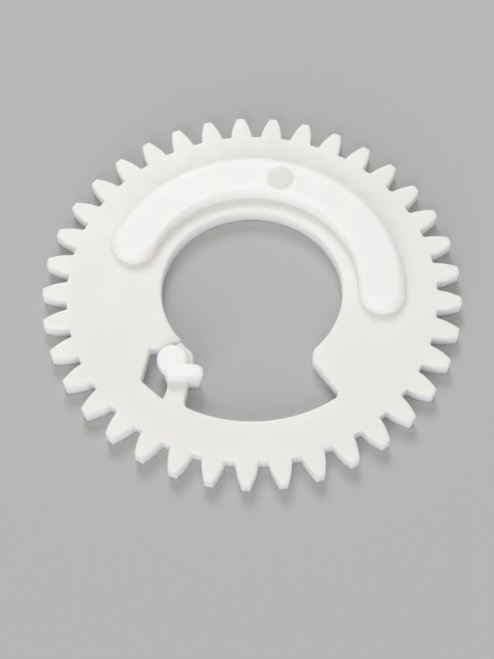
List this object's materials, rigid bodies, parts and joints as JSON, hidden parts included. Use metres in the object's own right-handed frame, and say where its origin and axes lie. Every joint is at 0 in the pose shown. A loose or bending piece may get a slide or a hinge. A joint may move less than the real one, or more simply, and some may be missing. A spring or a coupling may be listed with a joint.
{
  "type": "latching spur gear",
  "caption": "Flat plastic spur gear with a wide centre bore, a raised arc-shaped cam rib, and a sprung latch finger with a post and a tab beside the bore.",
  "frame": {"origin": "on the bore axis, at the gear's flat underside", "axes": "+Z along the bore axis, from the flat underside to the side with the cam rib; +Y from the latch and pocket side of the bore towards the middle of the cam rib"},
  "size_m": [0.0584, 0.0584, 0.0042],
  "materials": {
    "natural_acetal": "satin, slightly translucent"
  },
  "bodies": {
    "gear": {"toothed_rim": "natural_acetal", "web_plate": "natural_acetal", "bore_land": "natural_acetal", "cam_rib": "natural_acetal", "latch_flexure": "natural_acetal"},
    "latch": {"latch_arm": "natural_acetal", "latch_head": "natural_acetal", "latch_post": "natural_acetal", "latch_tab": "natural_acetal"}
  },
  "joints": [
    {"name": "latch_flex", "type": "hinge", "parent": "gear", "child": "latch", "pos_m": [-0.0103, -0.0164, 0.0012], "axis": [0, 0, 1], "range_deg": [-2, 6], "stiffness_Nm_per_rad": 5, "deforming": ["latch_flexure"]}
  ]
}
